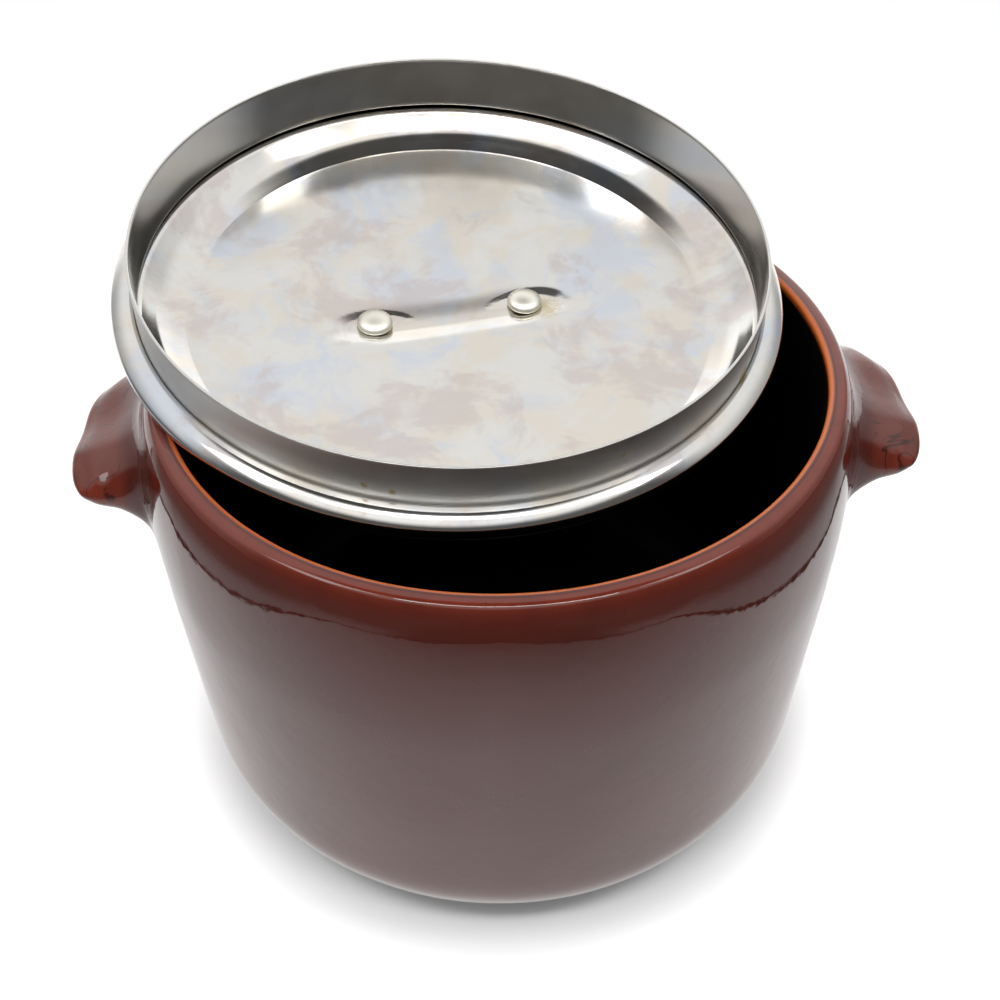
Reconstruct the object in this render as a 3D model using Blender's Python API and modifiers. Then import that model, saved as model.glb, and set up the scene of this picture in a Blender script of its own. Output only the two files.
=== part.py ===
"""Bean pot: a glazed stoneware crock with two lugs, and its steel lid laid upside down across the mouth.

Metres, +Z up. The origin is the middle of the flat base, and the lugs lie along X.
The lid has a frame of its own: Z runs along its axis towards the skirt's cut edge, and z = 0 is
the plane where the skirt leaves the rolled bead.
"""

import math

import bmesh
import bpy
import numpy as np
from mathutils import Matrix, Vector

# Crock
CROCK_HEIGHT = 0.1275
MOUTH_RADIUS = 0.0800
MOUTH_EDGE_ROUND = 0.0012
RIM_LAND = 0.0022
BELLY_RADIUS = 0.0897
BELLY_DROP = 0.0370
WALL_FOOT_RADIUS = 0.0873
CORNER_RADIUS = 0.0256
WALL_THICKNESS = 0.0088
BASE_THICKNESS = 0.0100

# Lugs
LUG_REACH = 0.0181
LUG_HALF_WIDTH = 0.0225
LUG_TAPER = 0.06
LUG_CORNER_CUT = 0.0044
LUG_TOP_AT_WALL = 0.0104
LUG_TOP_AT_LIP = 0.0168
LUG_FOOT_AT_WALL = 0.0368
LUG_FOOT_AT_LIP = 0.0276
LUG_FOOT_BEND = 0.7
LUG_TOP_SCOOP = 0.0030
LUG_EDGE_SCOOP = 0.0026
LUG_EMBED = 0.0050

# Lid
LID_CLEARANCE = 0.0012
SHEET = 0.0007
SKIRT_HEIGHT = 0.0112
SKIRT_FOOT_DEPTH = 0.0037
SKIRT_FOOT_WIDTH = 0.0023
BEAD_WIDTH = 0.0059
BEAD_HEIGHT = 0.0070
BEAD_GROOVE = 0.0014
BEAD_CREST = 0.55
BEAD_TUCK = 0.3
DRUM_FOOT_INSET = 0.0006
DRUM_TAPER = 0.00475
KNEE_DEPTH = 0.0030
PANEL_RADIUS = 0.0652
CONE_DEPTH = 0.0027
PANEL_CROWN = 0.0042
KNEE_ROUND = 0.0011
FIT_GAP = 0.0003

# Lid handle and its rivets
RIVET_INSET = 0.04495
RIVET_HEAD_RADIUS = 0.00465
RIVET_HEAD_HEIGHT = 0.0017
RIVET_TAIL_RADIUS = 0.0040
RIVET_TAIL_HEIGHT = 0.0012
RIVET_TAIL_FACE = 0.7
SHANK_RADIUS = 0.0020
BOSS_RADIUS = 0.0090
BOSS_HEIGHT = 0.0006
STRAP_THICKNESS = 0.0015
STRAP_WIDTH = 0.0120
STRAP_OVERHANG = 0.00875
STRAP_FOOT_TIP = 0.0068
STRAP_HEIGHT = 0.0240
STRAP_BEND = 0.0030
STRAP_SQUARENESS = 0.7
STRAP_STEPS = 9

# How the lid lies on the mouth: slid off centre, one side on the rim and the bead across it
LID_SHIFT = 0.0262
LID_SHIFT_ANGLE = math.radians(112.9)
STRAP_ANGLE = math.radians(12.5)
SEAT_GAP = 0.0004
SEAT_STEP = 0.0020
MOST_TILT = math.radians(25)

# Facets
TURN_STEPS = 64
RIVET_STEPS = 20
PANEL_RINGS = 4
LUG_CUTS = 3
MERGE = 0.00001

STONEWARE = ("glazed_stoneware", (0.115, 0.022, 0.012, 1.0), 0.10, 0.0)
STAINLESS = ("stainless_steel", (0.62, 0.60, 0.58, 1.0), 0.22, 1.0)
NICKEL = ("rivet_nickel", (0.66, 0.60, 0.46, 1.0), 0.25, 1.0)


def clear_scene():
    for thing in list(bpy.data.objects):
        bpy.data.objects.remove(thing, do_unlink=True)


def new_collection(name):
    collection = bpy.data.collections.new(name)
    bpy.context.scene.collection.children.link(collection)
    return collection


def make_material(name, colour, roughness, metallic):
    material = bpy.data.materials.new(name)
    material.use_nodes = True
    shader = material.node_tree.nodes["Principled BSDF"]
    shader.inputs["Base Color"].default_value = colour
    shader.inputs["Roughness"].default_value = roughness
    shader.inputs["Metallic"].default_value = metallic
    return material


def arc(centre, radii, start, end, count):
    """Points on an elliptical arc; angles in degrees, both ends included."""
    points = []
    for i in range(count + 1):
        angle = math.radians(start + (end - start) * i / count)
        points.append((centre[0] + radii[0] * math.cos(angle), centre[1] + radii[1] * math.sin(angle)))
    return points


def crock_outline():
    """The wall's section, from the middle of the inner floor, over the rim, to the middle of the base."""
    inner_radius = WALL_FOOT_RADIUS - WALL_THICKNESS
    inner_corner = CORNER_RADIUS - WALL_THICKNESS
    land_end = MOUTH_RADIUS + MOUTH_EDGE_ROUND + RIM_LAND
    points = [(0.0, BASE_THICKNESS)]
    points += arc((inner_radius - inner_corner, BASE_THICKNESS + inner_corner), (inner_corner, inner_corner),
                  -90, 0, 5)
    points.append((BELLY_RADIUS - WALL_THICKNESS, CROCK_HEIGHT - BELLY_DROP))
    points += arc((MOUTH_RADIUS + MOUTH_EDGE_ROUND, CROCK_HEIGHT - MOUTH_EDGE_ROUND),
                  (MOUTH_EDGE_ROUND, MOUTH_EDGE_ROUND), 180, 90, 3)
    points += arc((land_end, CROCK_HEIGHT - BELLY_DROP), (BELLY_RADIUS - land_end, BELLY_DROP), 90, 0, 8)
    points += arc((WALL_FOOT_RADIUS - CORNER_RADIUS, CORNER_RADIUS), (CORNER_RADIUS, CORNER_RADIUS), 0, -90, 6)
    points.append((0.0, 0.0))
    return points


def bead_outline():
    """The sheet's middle line round the hollow bead, from its edge at the skirt to the foot of the drum."""
    half = SHEET / 2
    edge = skirt_radius() + half + FIT_GAP
    outer = edge + BEAD_WIDTH - half
    width = outer - edge
    height = BEAD_HEIGHT / 2 - half
    middle = edge + width * BEAD_CREST
    points = [(edge, -half)]
    points += arc((middle, -BEAD_HEIGHT / 2), (outer - middle, height), 90, -90, 8)
    groove = (skirt_radius() + half, -BEAD_HEIGHT + half + BEAD_GROOVE)
    points.append(((groove[0] + middle) / 2, -BEAD_HEIGHT + half + BEAD_GROOVE * BEAD_TUCK))
    points.append(groove)
    return points


def drum_outline():
    """The sheet's middle line from the groove down the drum's sloping side to the middle of the panel."""
    foot = (skirt_radius() - DRUM_FOOT_INSET, -BEAD_HEIGHT + SHEET)
    knee = (skirt_radius() - DRUM_TAPER, -BEAD_HEIGHT - KNEE_DEPTH)
    edge = (PANEL_RADIUS, panel_height(PANEL_RADIUS))
    points = [foot, towards(knee, foot), towards(knee, edge), towards(edge, knee)]
    for i in range(1, PANEL_RINGS):
        radius = PANEL_RADIUS * (1 - i / PANEL_RINGS)
        points.append((radius, panel_height(radius)))
    points.append((0.0, panel_height(0.0)))
    return points


def towards(corner, other):
    """The point where a rounded corner begins, on the line from the corner towards the other point."""
    run, rise = other[0] - corner[0], other[1] - corner[1]
    share = KNEE_ROUND / math.hypot(run, rise)
    return corner[0] + run * share, corner[1] + rise * share


def skirt_radius():
    """Radius of the skirt's middle line: the skirt drops into the mouth with a named clearance."""
    return MOUTH_RADIUS - LID_CLEARANCE - SHEET / 2


def panel_height(radius):
    """Height of the panel's middle line in the lid's frame, on its shallow dome."""
    edge_height = -BEAD_HEIGHT - KNEE_DEPTH - CONE_DEPTH
    return edge_height - PANEL_CROWN * (1 - (radius / PANEL_RADIUS) ** 2)


def skirt_outline():
    """The skirt's middle line, from its cut edge down to the foot that the bead traps."""
    radius = skirt_radius()
    bend = SHEET
    points = [(radius, SKIRT_HEIGHT), (radius, SKIRT_HEIGHT / 2), (radius, 0.0)]
    points += arc((radius + bend, -SKIRT_FOOT_DEPTH + bend), (bend, bend), 180, 270, 2)
    points.append((radius + SKIRT_FOOT_WIDTH, -SKIRT_FOOT_DEPTH))
    return points


def section_distance(radii, heights, outline):
    """Signed distance from points to the crock's section: negative inside the stoneware."""
    start = np.array(outline)
    end = np.roll(start, -1, axis=0)
    run = end - start
    keep = (run ** 2).sum(axis=1) > 0
    start, end, run = start[keep], end[keep], run[keep]
    point = np.stack([radii, heights], axis=1)[:, None, :]
    along = ((point - start) * run).sum(axis=2) / (run ** 2).sum(axis=1)
    nearest = start + np.clip(along, 0, 1)[:, :, None] * run
    distance = np.sqrt(((point - nearest) ** 2).sum(axis=2)).min(axis=1)
    crosses = (start[:, 1] > point[:, :, 1]) != (end[:, 1] > point[:, :, 1])
    rise = np.where(run[:, 1] == 0, 1.0, run[:, 1])
    meet = start[:, 0] + (point[:, :, 1] - start[:, 1]) / rise * run[:, 0]
    inside = (crosses & (point[:, :, 0] < meet)).sum(axis=1) % 2 == 1
    return np.where(inside, -distance, distance)


def lid_rotation(tilt):
    """The lid leans back on the side it is slid towards, and dips into the mouth on the other."""
    lean_axis = Vector((math.sin(LID_SHIFT_ANGLE), -math.cos(LID_SHIFT_ANGLE), 0.0))
    return Matrix.Rotation(tilt, 3, lean_axis)


def contact_height(outline, tilt, rim):
    """Height of the lid's frame at which this part of the sheet first comes to the crock's rim."""
    turns = np.radians(np.arange(0, 360, 3))
    path = np.array(outline)
    ring = np.stack([np.outer(path[:, 0], np.cos(turns)), np.outer(path[:, 0], np.sin(turns)),
                     np.repeat(path[:, 1:], len(turns), axis=1)], axis=2).reshape(-1, 3)
    world = ring @ np.array(lid_rotation(tilt)).T
    radii = np.hypot(world[:, 0] + LID_SHIFT * math.cos(LID_SHIFT_ANGLE),
                     world[:, 1] + LID_SHIFT * math.sin(LID_SHIFT_ANGLE))
    wanted = SHEET / 2 + SEAT_GAP

    def clear(height):
        return section_distance(radii, world[:, 2] + height, rim).min() >= wanted

    high = CROCK_HEIGHT + PANEL_RADIUS
    step = PANEL_RADIUS / 30
    while clear(high - step):
        high -= step
    low = high - step
    for _ in range(12):
        middle = (low + high) / 2
        if clear(middle):
            high = middle
        else:
            low = middle
    return high


def densify(outline, step):
    """The same line with points no further apart than the step."""
    points = [outline[0]]
    for (r0, z0), (r1, z1) in zip(outline, outline[1:]):
        count = max(1, math.ceil(math.hypot(r1 - r0, z1 - z0) / step))
        for i in range(1, count + 1):
            points.append((r0 + (r1 - r0) * i / count, z0 + (z1 - z0) * i / count))
    return points


def lid_seat():
    """Tilt and height at which the drum leans on the rim while the bead lies across the mouth."""
    rim = crock_outline()
    bead = densify(bead_outline(), SEAT_STEP)
    drum = [point for point in densify(drum_outline(), SEAT_STEP) if point[0] > PANEL_RADIUS / 2]
    low, high = 0.0, MOST_TILT
    for _ in range(14):
        tilt = (low + high) / 2
        if contact_height(drum, tilt, rim) > contact_height(bead, tilt, rim):
            low = tilt
        else:
            high = tilt
    return tilt, contact_height(bead, tilt, rim)


def turned(name, outline, collection, steps, parent=None):
    """A mesh line in the XZ plane, turned about Z by a Screw modifier."""
    mesh = bpy.data.meshes.new(name)
    builder = bmesh.new()
    corners = [builder.verts.new((radius, 0.0, height)) for radius, height in outline]
    for one, other in zip(corners, corners[1:]):
        builder.edges.new((one, other))
    builder.to_mesh(mesh)
    builder.free()
    piece = bpy.data.objects.new(name, mesh)
    collection.objects.link(piece)
    piece.parent = parent
    screw = piece.modifiers.new("turn", "SCREW")
    screw.axis = "Z"
    screw.angle = math.tau
    screw.steps = steps
    screw.render_steps = steps
    screw.use_merge_vertices = True
    screw.merge_threshold = MERGE
    screw.use_smooth_shade = True
    return piece


def add_boolean(piece, cutter, operation):
    boolean = piece.modifiers.new(operation.lower(), "BOOLEAN")
    boolean.operation = operation
    boolean.object = cutter
    boolean.solver = "EXACT"


def add_solidify(piece, thickness):
    solid = piece.modifiers.new("sheet", "SOLIDIFY")
    solid.thickness = thickness
    solid.offset = 0.0
    solid.use_even_offset = True


def mark_as_cutter(piece):
    piece.hide_render = True
    piece.display_type = "WIRE"


def lug_shape(along, across, up):
    """Where a point of the unit block goes: along 0..1 out of the wall, across and up both -1..1."""
    middle = (1 - across ** 2) ** 2
    corner = max(0.0, 2 * abs(across) - 1)
    root = BELLY_RADIUS - LUG_EMBED
    reach = LUG_EMBED + LUG_REACH - LUG_EDGE_SCOOP * middle - LUG_CORNER_CUT * corner
    width = LUG_HALF_WIDTH * (1 - LUG_TAPER * along)
    top = LUG_TOP_AT_WALL + (LUG_TOP_AT_LIP - LUG_TOP_AT_WALL) * along
    top += LUG_TOP_SCOOP * middle * min(1.0, 2 * along)
    foot = LUG_FOOT_AT_WALL + (LUG_FOOT_AT_LIP - LUG_FOOT_AT_WALL) * along ** LUG_FOOT_BEND
    drop = foot + (top - foot) * (up + 1) / 2
    return root + reach * along, width * across, CROCK_HEIGHT - drop


def make_lug(collection, side):
    """A lug is a soft block: a subdivided cube bent to the lug's sizes, then rounded."""
    mesh = bpy.data.meshes.new("lug_form")
    builder = bmesh.new()
    bmesh.ops.create_cube(builder, size=2.0)
    bmesh.ops.subdivide_edges(builder, edges=builder.edges[:], cuts=LUG_CUTS, use_grid_fill=True)
    for corner in builder.verts:
        along, across, up = (corner.co.x + 1) / 2, corner.co.y, corner.co.z
        corner.co = lug_shape(along, across, up)
    if side < 0:
        bmesh.ops.rotate(builder, verts=builder.verts[:], cent=(0, 0, 0), matrix=Matrix.Rotation(math.pi, 3, "Z"))
    bmesh.ops.recalc_face_normals(builder, faces=builder.faces[:])
    builder.to_mesh(mesh)
    builder.free()
    lug = bpy.data.objects.new("lug_form", mesh)
    collection.objects.link(lug)
    rounding = lug.modifiers.new("rounding", "SUBSURF")
    rounding.levels = 2
    rounding.render_levels = 2
    mark_as_cutter(lug)
    return lug


def make_crock(parts, cutters):
    crock = turned("crock_body", crock_outline(), parts, TURN_STEPS)
    for side in (1, -1):
        add_boolean(crock, make_lug(cutters, side), "UNION")
    crock.data.materials.append(make_material(*STONEWARE))
    return crock


def make_skirt(parts, seat, steel):
    skirt = turned("lid_skirt", skirt_outline(), parts, TURN_STEPS, seat)
    add_solidify(skirt, SHEET)
    skirt.data.materials.append(steel)
    return skirt


def rivet_reach():
    """Distance of each rivet from the lid's middle, set in from the panel's edge."""
    return PANEL_RADIUS - RIVET_INSET


def rivet_places():
    return {"rivet_left": -rivet_reach(), "rivet_right": rivet_reach()}


def make_posts(name, radius, low, high, cutters, seat):
    """Two upright cylinders at the rivets, from low to high in the lid's frame."""
    mesh = bpy.data.meshes.new(name)
    builder = bmesh.new()
    for place in rivet_places().values():
        bmesh.ops.create_cone(builder, cap_ends=True, segments=RIVET_STEPS, radius1=radius, radius2=radius,
                              depth=high - low, matrix=Matrix.Translation((place, 0, (low + high) / 2)))
    builder.to_mesh(mesh)
    builder.free()
    posts = bpy.data.objects.new(name, mesh)
    cutters.objects.link(posts)
    posts.parent = seat
    mark_as_cutter(posts)
    return posts


def make_cover(parts, cutters, seat, steel):
    outline = bead_outline() + drum_outline()
    cover = turned("lid_cover", outline, parts, TURN_STEPS, seat)
    add_solidify(cover, SHEET)
    sheet_middle = panel_height(rivet_reach())
    boss_foot = sheet_middle - SHEET / 2 - BOSS_HEIGHT
    bosses = make_posts("boss_form", BOSS_RADIUS, boss_foot, sheet_middle, cutters, seat)
    holes = make_posts("shank_holes", SHANK_RADIUS + FIT_GAP, boss_foot - SHEET, sheet_middle + SHEET * 2,
                       cutters, seat)
    add_boolean(cover, bosses, "UNION")
    add_boolean(cover, holes, "DIFFERENCE")
    cover.data.materials.append(steel)
    return cover


def strap_top():
    """Upper face of the strap's feet: one fit gap under the bosses."""
    return panel_height(rivet_reach()) - SHEET / 2 - BOSS_HEIGHT - FIT_GAP


def strap_line():
    """Middle line of the strap from one foot's tip round the loop to the other."""
    foot = strap_top() - STRAP_THICKNESS / 2
    tip = rivet_reach() - STRAP_FOOT_TIP
    span = rivet_reach() + STRAP_OVERHANG
    half = [(tip, foot)]
    half += arc((span - STRAP_BEND, foot - STRAP_BEND), (STRAP_BEND, STRAP_BEND), 90, 0, 4)
    drop = STRAP_HEIGHT - STRAP_BEND - STRAP_THICKNESS
    for i in range(1, STRAP_STEPS + 1):
        angle = math.pi / 2 * i / STRAP_STEPS
        reach = span * max(math.cos(angle), 0.0) ** STRAP_SQUARENESS
        half.append((reach, foot - STRAP_BEND - drop * math.sin(angle)))
    half[-1] = (0.0, foot - STRAP_BEND - drop)
    return half + [(-x, z) for x, z in reversed(half[:-1])]


def make_strap(parts, cutters, seat, steel):
    mesh = bpy.data.meshes.new("handle_strap")
    builder = bmesh.new()
    line = strap_line()
    edges = []
    corners = [builder.verts.new((x, -STRAP_WIDTH / 2, z)) for x, z in line]
    for one, other in zip(corners, corners[1:]):
        edges.append(builder.edges.new((one, other)))
    widened = bmesh.ops.extrude_edge_only(builder, edges=edges)
    moved = [item for item in widened["geom"] if isinstance(item, bmesh.types.BMVert)]
    bmesh.ops.translate(builder, verts=moved, vec=(0, STRAP_WIDTH, 0))
    builder.to_mesh(mesh)
    builder.free()
    strap = bpy.data.objects.new("handle_strap", mesh)
    parts.objects.link(strap)
    strap.parent = seat
    add_solidify(strap, STRAP_THICKNESS)
    top = strap_top()
    holes = make_posts("strap_holes", SHANK_RADIUS + FIT_GAP, top - STRAP_THICKNESS * 2, top + STRAP_THICKNESS,
                       cutters, seat)
    add_boolean(strap, holes, "DIFFERENCE")
    strap.data.materials.append(steel)
    return strap


def rivet_outline():
    """Domed head inside the lid, shank through sheet and strap, and the closed tail under the strap."""
    head_foot = SHEET / 2 + FIT_GAP
    sheet_middle = panel_height(rivet_reach())
    tail_top = strap_top() - STRAP_THICKNESS - FIT_GAP - sheet_middle
    tail_foot = tail_top - RIVET_TAIL_HEIGHT
    points = arc((0.0, head_foot), (RIVET_HEAD_RADIUS, RIVET_HEAD_HEIGHT), 90, 0, 4)
    points[0] = (0.0, head_foot + RIVET_HEAD_HEIGHT)
    points += [(SHANK_RADIUS, head_foot), (SHANK_RADIUS, tail_top), (RIVET_TAIL_RADIUS, tail_top)]
    points += [(RIVET_TAIL_RADIUS, (tail_top + tail_foot) / 2), (RIVET_TAIL_RADIUS * RIVET_TAIL_FACE, tail_foot)]
    points.append((0.0, tail_foot))
    return points


def make_rivets(parts, seat):
    nickel = make_material(*NICKEL)
    for name, place in rivet_places().items():
        rivet = turned(name, rivet_outline(), parts, RIVET_STEPS, seat)
        rivet.location = (place, 0.0, panel_height(rivet_reach()))
        rivet.data.materials.append(nickel)


def make_seat(parts):
    """An empty at the lid's own origin; every piece of the lid hangs from it."""
    tilt, height = lid_seat()
    seat = bpy.data.objects.new("lid_seat", None)
    seat.empty_display_size = MOUTH_RADIUS
    parts.objects.link(seat)
    turn = lid_rotation(tilt) @ Matrix.Rotation(STRAP_ANGLE, 3, "Z")
    seat.rotation_euler = turn.to_euler()
    seat.location = (LID_SHIFT * math.cos(LID_SHIFT_ANGLE), LID_SHIFT * math.sin(LID_SHIFT_ANGLE), height)
    return seat


def main():
    clear_scene()
    parts = new_collection("bean_pot")
    cutters = new_collection("bean_pot_cutters")
    steel = make_material(*STAINLESS)
    make_crock(parts, cutters)
    seat = make_seat(parts)
    make_cover(parts, cutters, seat, steel)
    make_skirt(parts, seat, steel)
    make_strap(parts, cutters, seat, steel)
    make_rivets(parts, seat)
    bpy.context.view_layer.update()


main()
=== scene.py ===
"""Visible pieces of a glazed stoneware bean pot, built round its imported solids.

The crock stands on its base at the origin, lugs along X. Its riveted steel lid lies upside down
and askew across the mouth; every piece of the lid is shaped in the lid's own frame, which is read
from the solids, and then laid in place.
"""

import math

import bmesh
import bpy
import numpy as np
from bpy.props import FloatProperty, FloatVectorProperty, PointerProperty
from mathutils import Matrix, Vector, noise


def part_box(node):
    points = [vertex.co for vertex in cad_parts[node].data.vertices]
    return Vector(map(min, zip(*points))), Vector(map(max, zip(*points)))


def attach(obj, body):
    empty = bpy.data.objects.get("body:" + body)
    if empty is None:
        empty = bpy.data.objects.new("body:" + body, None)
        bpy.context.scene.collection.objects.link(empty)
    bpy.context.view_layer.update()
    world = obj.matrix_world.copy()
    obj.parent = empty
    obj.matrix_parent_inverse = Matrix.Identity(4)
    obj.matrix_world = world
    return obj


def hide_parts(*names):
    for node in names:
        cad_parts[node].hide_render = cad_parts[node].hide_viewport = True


bl_info = {
    "name": "Bean Pot",
    "version": (1, 0, 0),
    "blender": (4, 5, 0),
    "location": "View3D > Sidebar > Bean Pot",
    "description": "Builds a glazed stoneware bean pot with its steel lid, and a studio stage for it",
    "category": "Add Mesh",
}

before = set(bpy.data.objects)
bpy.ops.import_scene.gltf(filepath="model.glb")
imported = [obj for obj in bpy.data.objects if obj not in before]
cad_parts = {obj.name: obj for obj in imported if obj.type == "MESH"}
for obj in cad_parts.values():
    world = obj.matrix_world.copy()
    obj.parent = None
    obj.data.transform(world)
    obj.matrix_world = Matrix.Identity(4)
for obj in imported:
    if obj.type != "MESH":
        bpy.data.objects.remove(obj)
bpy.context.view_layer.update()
CROCK_TOP = float(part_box("crock_body")[1][2])
LUG_REACH_X = float(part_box("crock_body")[1][0])
LUG_END = LUG_REACH_X - 0.0001  # where the lugs stop, just inside the solid ones
PIECE_GAP = 0.0003  # between the lid's sheets, its strap and its rivets
LID_STEPS = 192  # round the lid's turned pieces
PANEL_RINGS = 58


def length(name, description, default):
    return FloatProperty(name=name, description=description, default=default, unit="LENGTH", precision=5)


def amount(name, description, default, unit="NONE"):
    return FloatProperty(name=name, description=description, default=default, unit=unit)


def colour(name, description, default):
    return FloatVectorProperty(name=name, description=description, default=default, size=3, subtype="COLOR",
                               min=0.0, max=1.0)


class CrockSettings(bpy.types.PropertyGroup):
    """Sizes and glaze of the crock"""
    mouth_radius: length("Mouth radius", "Inner edge of the mouth", 0.0800)
    edge_round: length("Edge round", "Rounding of the mouth's inner edge", 0.0012)
    rim_land: length("Rim land", "Width of the rim's level top", 0.0022)
    belly_radius: length("Belly radius", "Widest radius, under the shoulder", 0.0897)
    belly_drop: length("Belly drop", "Depth of the widest ring under the rim", 0.0370)
    foot_radius: length("Foot radius", "Radius where the wall turns in to the base", 0.0873)
    corner_radius: length("Corner radius", "Round from wall to base", 0.0256)
    wall: length("Wall", "Thickness of the wall", 0.0088)
    floor: length("Floor", "Thickness of the floor", 0.0100)
    ripple: length("Ripple", "Height of the hand finish's ripples", 0.00009)
    glaze: colour("Glaze", "Body colour of the outer glaze", (0.082, 0.0112, 0.0062))
    glaze_dark: colour("Dark glaze", "Glaze where it is thickest", (0.056, 0.0082, 0.0050))
    glaze_half: colour("Half-thin glaze", "Glaze on rounded places", (0.185, 0.0270, 0.0120))
    glaze_thin: colour("Thin glaze", "Glaze broken over edges", (0.62, 0.14, 0.025))
    # Painted shade: the crock's inside is coloured near black, standing for the shade under the lid.
    inner_shade: colour("Lining", "Glaze inside the crock", (0.0040, 0.0032, 0.0030))
    clay: colour("Clay", "Bare clay under the base", (0.42, 0.33, 0.24))


class LugSettings(bpy.types.PropertyGroup):
    """Sizes of the crock's two lugs"""
    half_width: length("Half width", "Half the lug's width along the wall", 0.0250)
    top_at_wall: length("Top at wall", "Depth of the lug's top under the rim, at the wall", 0.0104)
    top_at_lip: length("Top at lip", "Depth of the lug's top under the rim, at its lip", 0.0168)
    foot_at_wall: length("Foot at wall", "Depth of the lug's underside, at the wall", 0.0368)
    foot_at_lip: length("Foot at lip", "Depth of the lug's underside, at its lip", 0.0276)
    top_scoop: length("Top scoop", "Hollow in the middle of the top", 0.0019)
    edge_scoop: length("Edge scoop", "Hollow in the middle of the lip", 0.0015)
    corner_cut: length("Corner cut", "How far the lip's corners fall back", 0.0044)
    far_cut: length("Far cut", "How much further the lip's far end falls back", 0.0022)
    embed: length("Embed", "Depth in the wall at which the lug's block starts", 0.0050)
    roundness: amount("Roundness", "How round the lug's section is", 0.90)


class LidSettings(bpy.types.PropertyGroup):
    """Sizes and finish of the lid"""
    sheet: length("Sheet", "Thickness of the steel", 0.0007)
    skirt_radius: length("Skirt radius", "Middle line of the skirt", 0.07845)
    skirt_height: length("Skirt height", "Height of the skirt over the bead", 0.0112)
    skirt_foot: length("Skirt foot", "How far the skirt runs down behind the bead", 0.0037)
    bead_width: length("Bead width", "Width of the rolled bead", 0.00575)
    bead_height: length("Bead height", "Height of the rolled bead", 0.0070)
    bead_groove: length("Bead groove", "Height of the groove under the bead's inner side", 0.0014)
    drum_inset: length("Drum inset", "How far the drum's foot stands inside the skirt", 0.0006)
    knee_radius: length("Knee radius", "Where the drum's side turns in", 0.0733)
    knee_depth: length("Knee depth", "Depth of that turn under the bead", 0.0033)
    knee_ease: length("Knee ease", "Length over which the knee is rounded, each way", 0.0022)
    panel_radius: length("Panel radius", "Outer edge of the domed panel", 0.0678)
    panel_ease: length("Panel ease", "Length over which the panel's edge is rounded, each way", 0.0003)
    cone_depth: length("Cone depth", "Depth from the knee to the panel's edge", 0.0021)
    crown: length("Crown", "Depth of the panel's dome", 0.0042)
    rivet_spacing: length("Rivet spacing", "Distance between the rivets", 0.0405)
    rivet_radius: length("Rivet radius", "Radius of a rivet's head", 0.00465)
    rivet_height: length("Rivet height", "Height of a rivet's head", 0.0021)
    shank_radius: length("Shank radius", "Radius of a rivet's shank", 0.0020)
    tail_radius: length("Tail radius", "Radius of a rivet's closed end", 0.0040)
    tail_height: length("Tail height", "Height of a rivet's closed end", 0.0012)
    boss_height: length("Boss height", "How far the pressing stands out under a rivet", 0.0006)
    dimple_length: length("Dimple length", "Half the pressing's length along the rivets' line", 0.0106)
    dimple_width: length("Dimple width", "Half the pressing's width across that line", 0.0049)
    dimple_depth: length("Dimple depth", "Depth of the pressing round a rivet", 0.0006)
    steel: colour("Steel", "Colour of the lid's steel", (0.66, 0.65, 0.625))
    warm_tint: colour("Warm tint", "Straw-coloured heat tint", (0.66, 0.60, 0.51))
    cool_tint: colour("Cool tint", "Blue heat tint", (0.53, 0.58, 0.68))
    rose_tint: colour("Rose tint", "Brown-pink heat tint", (0.54, 0.475, 0.455))
    residue: colour("Residue", "Dried food on the steel", (0.34, 0.25, 0.07))
    rivet_colour: colour("Rivet colour", "Colour of the rivets", (0.88, 0.86, 0.76))


class StrapSettings(bpy.types.PropertyGroup):
    """Sizes of the looped strap handle"""
    thickness: length("Thickness", "Thickness of the strap", 0.0015)
    width: length("Width", "Width of the strap", 0.0120)
    half_span: length("Half span", "Half the loop's length along the rivets' line", 0.0290)
    bend: length("Bend", "Radius of the bends by the feet", 0.0030)
    height: length("Height", "How far the loop stands off the lid", 0.0240)
    foot_tip: length("Foot tip", "How far a foot runs inward past its rivet", 0.0068)
    edge_round: length("Edge round", "Rounding of the strap's edges", 0.0004)


class StageSettings(bpy.types.PropertyGroup):
    """Camera, lamps and floor"""
    lens: amount("Lens", "Focal length on a 36 mm sensor", 44.795, "CAMERA")
    camera_place: FloatVectorProperty(
        name="Camera place", description="Where the camera stands", subtype="TRANSLATION", precision=5,
        default=(-0.00995, -0.24783, 0.30895))
    camera_turn: FloatVectorProperty(
        name="Camera turn", description="How the camera is turned", subtype="EULER",
        default=(math.radians(46.999), math.radians(0.454), math.radians(-2.813)))
    floor_colour: colour("Floor colour", "Colour of the floor", (0.90, 0.90, 0.90))
    table_front: length("Table front", "How far in front of the crock the pale table ends", 0.385)
    table_side: length("Table side", "How far to each side the pale table ends", 0.203)
    room: amount("Room light", "Brightness of the pale room behind", 1.10)
    front: amount("Front light", "Brightness of the room in front", 0.12)
    ceiling: amount("Ceiling light", "Brightness of the ceiling", 0.08)
    high_front: amount("High front light", "Brightness high up in front", 1.30)
    side_lamp: amount("Side lamps", "Power of the lamp on the left; the right one is weaker", 1.5, "POWER")
    right_share: amount("Right share", "Power of the right lamp as a share of the left one's", 0.75)
    top_lamp: amount("Top lamp", "Power of the lamp overhead", 3.8, "POWER")


def smoothstep(low, high, value):
    share = min(max((value - low) / (high - low), 0.0), 1.0)
    return share * share * (3.0 - 2.0 * share)


def arc(centre, radii, start, end, count):
    """Points on an elliptical arc in the section plane; angles in degrees, both ends included."""
    points = []
    for i in range(count + 1):
        angle = math.radians(start + (end - start) * i / count)
        points.append((centre[0] + radii[0] * math.cos(angle), centre[1] + radii[1] * math.sin(angle)))
    return points


def line(start, end, count):
    """Points along a straight run, without its first."""
    return [(start[0] + (end[0] - start[0]) * i / count, start[1] + (end[1] - start[1]) * i / count)
            for i in range(1, count + 1)]


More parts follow.
